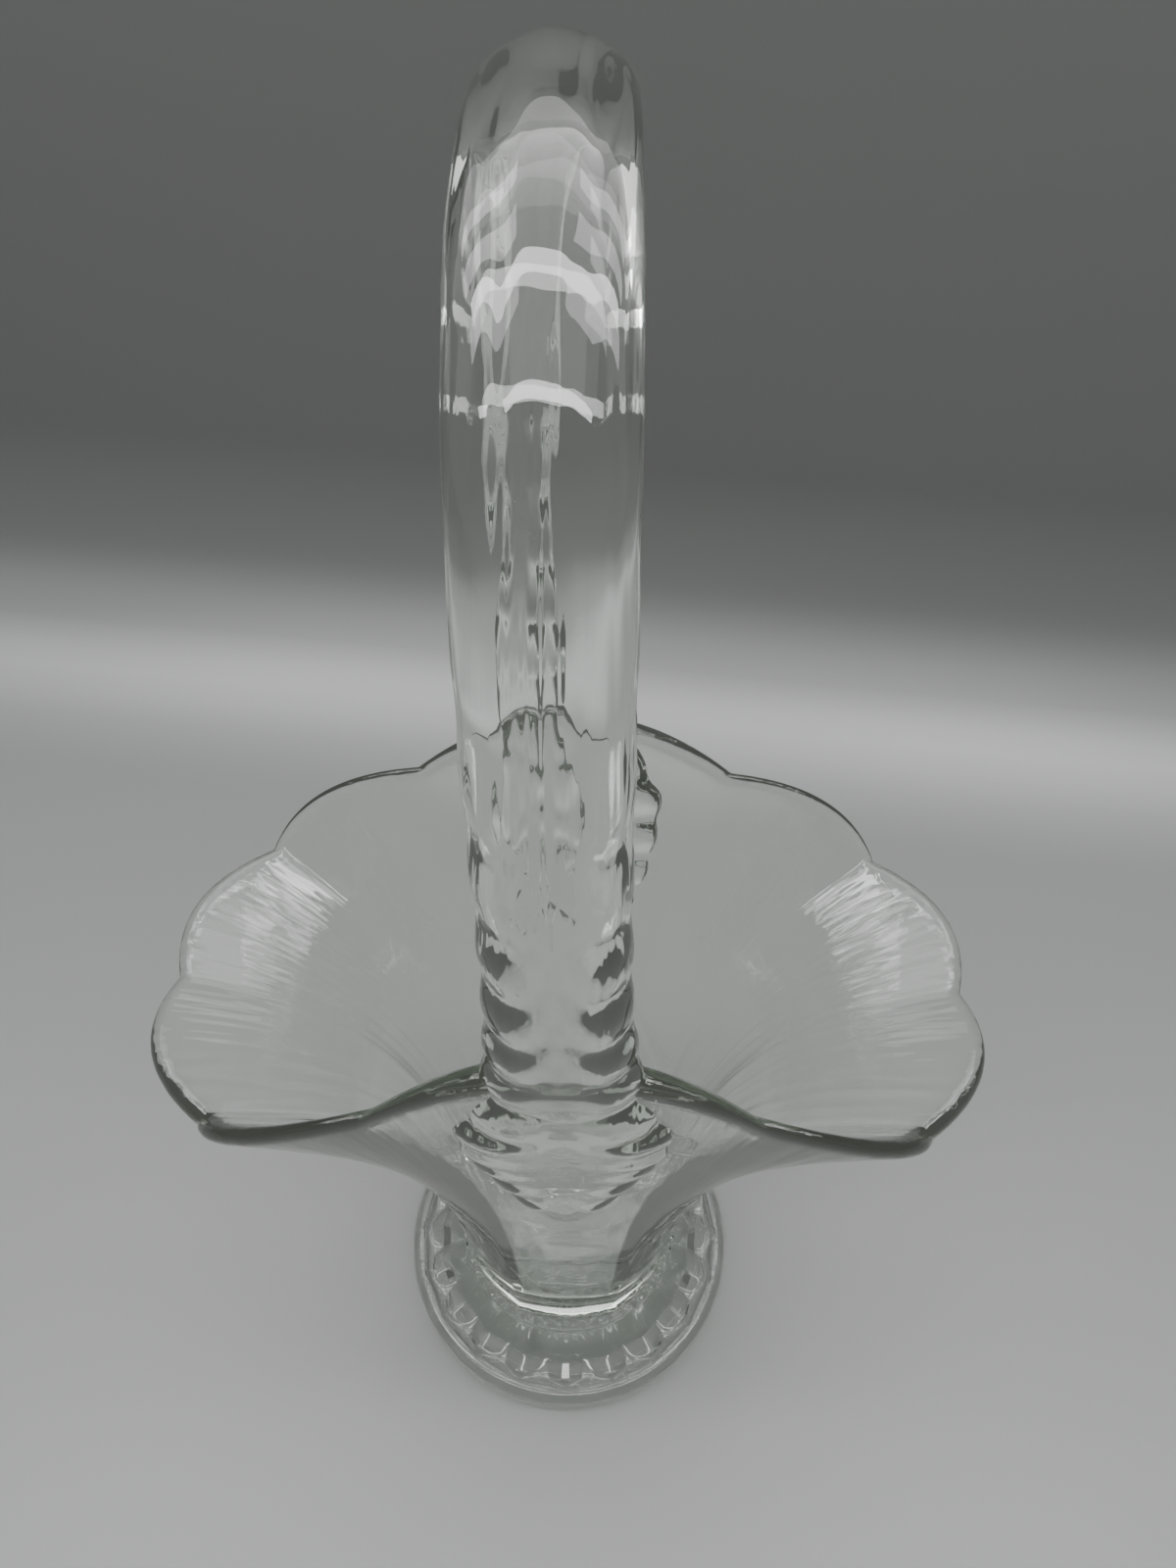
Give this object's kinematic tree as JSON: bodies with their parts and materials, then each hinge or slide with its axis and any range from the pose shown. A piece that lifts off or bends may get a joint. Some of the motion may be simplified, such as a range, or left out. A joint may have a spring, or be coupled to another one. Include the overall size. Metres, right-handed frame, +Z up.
{
  "type": "glass basket",
  "caption": "Clear pressed-glass basket: petalled round foot, panelled trumpet bowl with a flared scalloped rim, and a tall patterned strap handle over it.",
  "frame": {"origin": "centre of the foot's underside, on the surface the basket stands on", "axes": "+Z up; X along the bowl's long way, towards its wide flared sides; Y through the two legs of the handle, with -Y towards the viewer of the picture"},
  "size_m": [0.1452, 0.091, 0.2644],
  "materials": {
    "clear_glass": "clear, fire-polished, faint grey-green in the thick edges"
  },
  "bodies": {
    "root": {"glass_basket": "clear_glass"}
  },
  "joints": []
}
